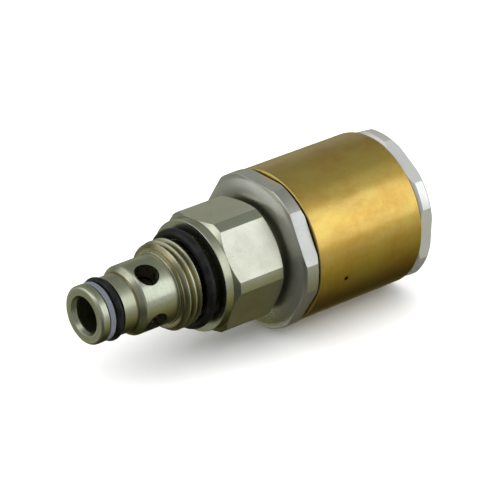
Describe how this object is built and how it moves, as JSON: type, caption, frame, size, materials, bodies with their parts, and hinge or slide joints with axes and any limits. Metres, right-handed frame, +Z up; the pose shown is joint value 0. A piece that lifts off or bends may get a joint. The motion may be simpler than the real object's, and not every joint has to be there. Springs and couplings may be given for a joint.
{
  "type": "cartridge valve",
  "caption": "Screw-in two-way hydraulic cartridge valve with an air-cylinder pilot: air on the rear cap pushes a spring-returned piston and spool to open the side ports.",
  "frame": {"origin": "on the valve's axis, in the plane of the seat face that bears on the manifold", "axes": "+X along the valve's axis from the nose to the air cap, +Z up, +Y to the left of +X"},
  "size_m": [0.0802, 0.034, 0.034],
  "materials": {
    "plated_body": "yellow-tinted zinc plating, satin",
    "plated_flange": "zinc plating, satin",
    "brass_barrel": "satin, lightly tarnished",
    "cap_aluminium": "satin, turned",
    "piston_aluminium": "turned",
    "bush_bronze": "turned bronze",
    "ground_steel": "ground",
    "small_steel": "zinc plated",
    "spring_steel": "drawn wire",
    "black_steel": "black oxide",
    "seal_rubber": "black nitrile rubber",
    "backup_plastic": "white seal plastic"
  },
  "bodies": {
    "housing": {"cartridge_body": "plated_body", "nose_o_ring": "seal_rubber", "nose_backup_ring": "backup_plastic", "port_o_ring": "seal_rubber", "pin_guide_bush": "bush_bronze", "pin_seal": "seal_rubber", "pin_backup_ring": "backup_plastic", "bush_o_ring": "seal_rubber", "bush_retaining_ring": "black_steel", "spool_spring": "spring_steel", "piston_return_spring": "spring_steel", "front_flange": "plated_flange", "barrel": "brass_barrel", "rear_cap": "cap_aluminium", "rear_cap_o_ring": "seal_rubber"},
    "piston_unit": {"air_piston": "piston_aluminium", "piston_guide_ring": "backup_plastic", "piston_seal": "seal_rubber", "push_pin": "ground_steel", "piston_washer": "small_steel", "piston_nut": "small_steel"},
    "spool_unit": {"spool": "black_steel", "spring_retainer": "small_steel", "retainer_clip": "black_steel"}
  },
  "joints": [
    {"name": "piston_slide", "type": "slide", "parent": "housing", "child": "piston_unit", "axis": [-1, 0, 0], "range_m": [0, 0.0045], "stiffness_N_per_m": 4000, "springref_m": -0.004, "deforming": ["piston_return_spring"]},
    {"name": "spool_slide", "type": "slide", "parent": "housing", "child": "spool_unit", "axis": [-1, 0, 0], "range_m": [0, 0.0045], "stiffness_N_per_m": 2500, "springref_m": -0.004, "deforming": ["spool_spring"]}
  ],
  "couplings": [
    {"joint": "spool_slide", "follows": "piston_slide", "ratio": 1}
  ]
}
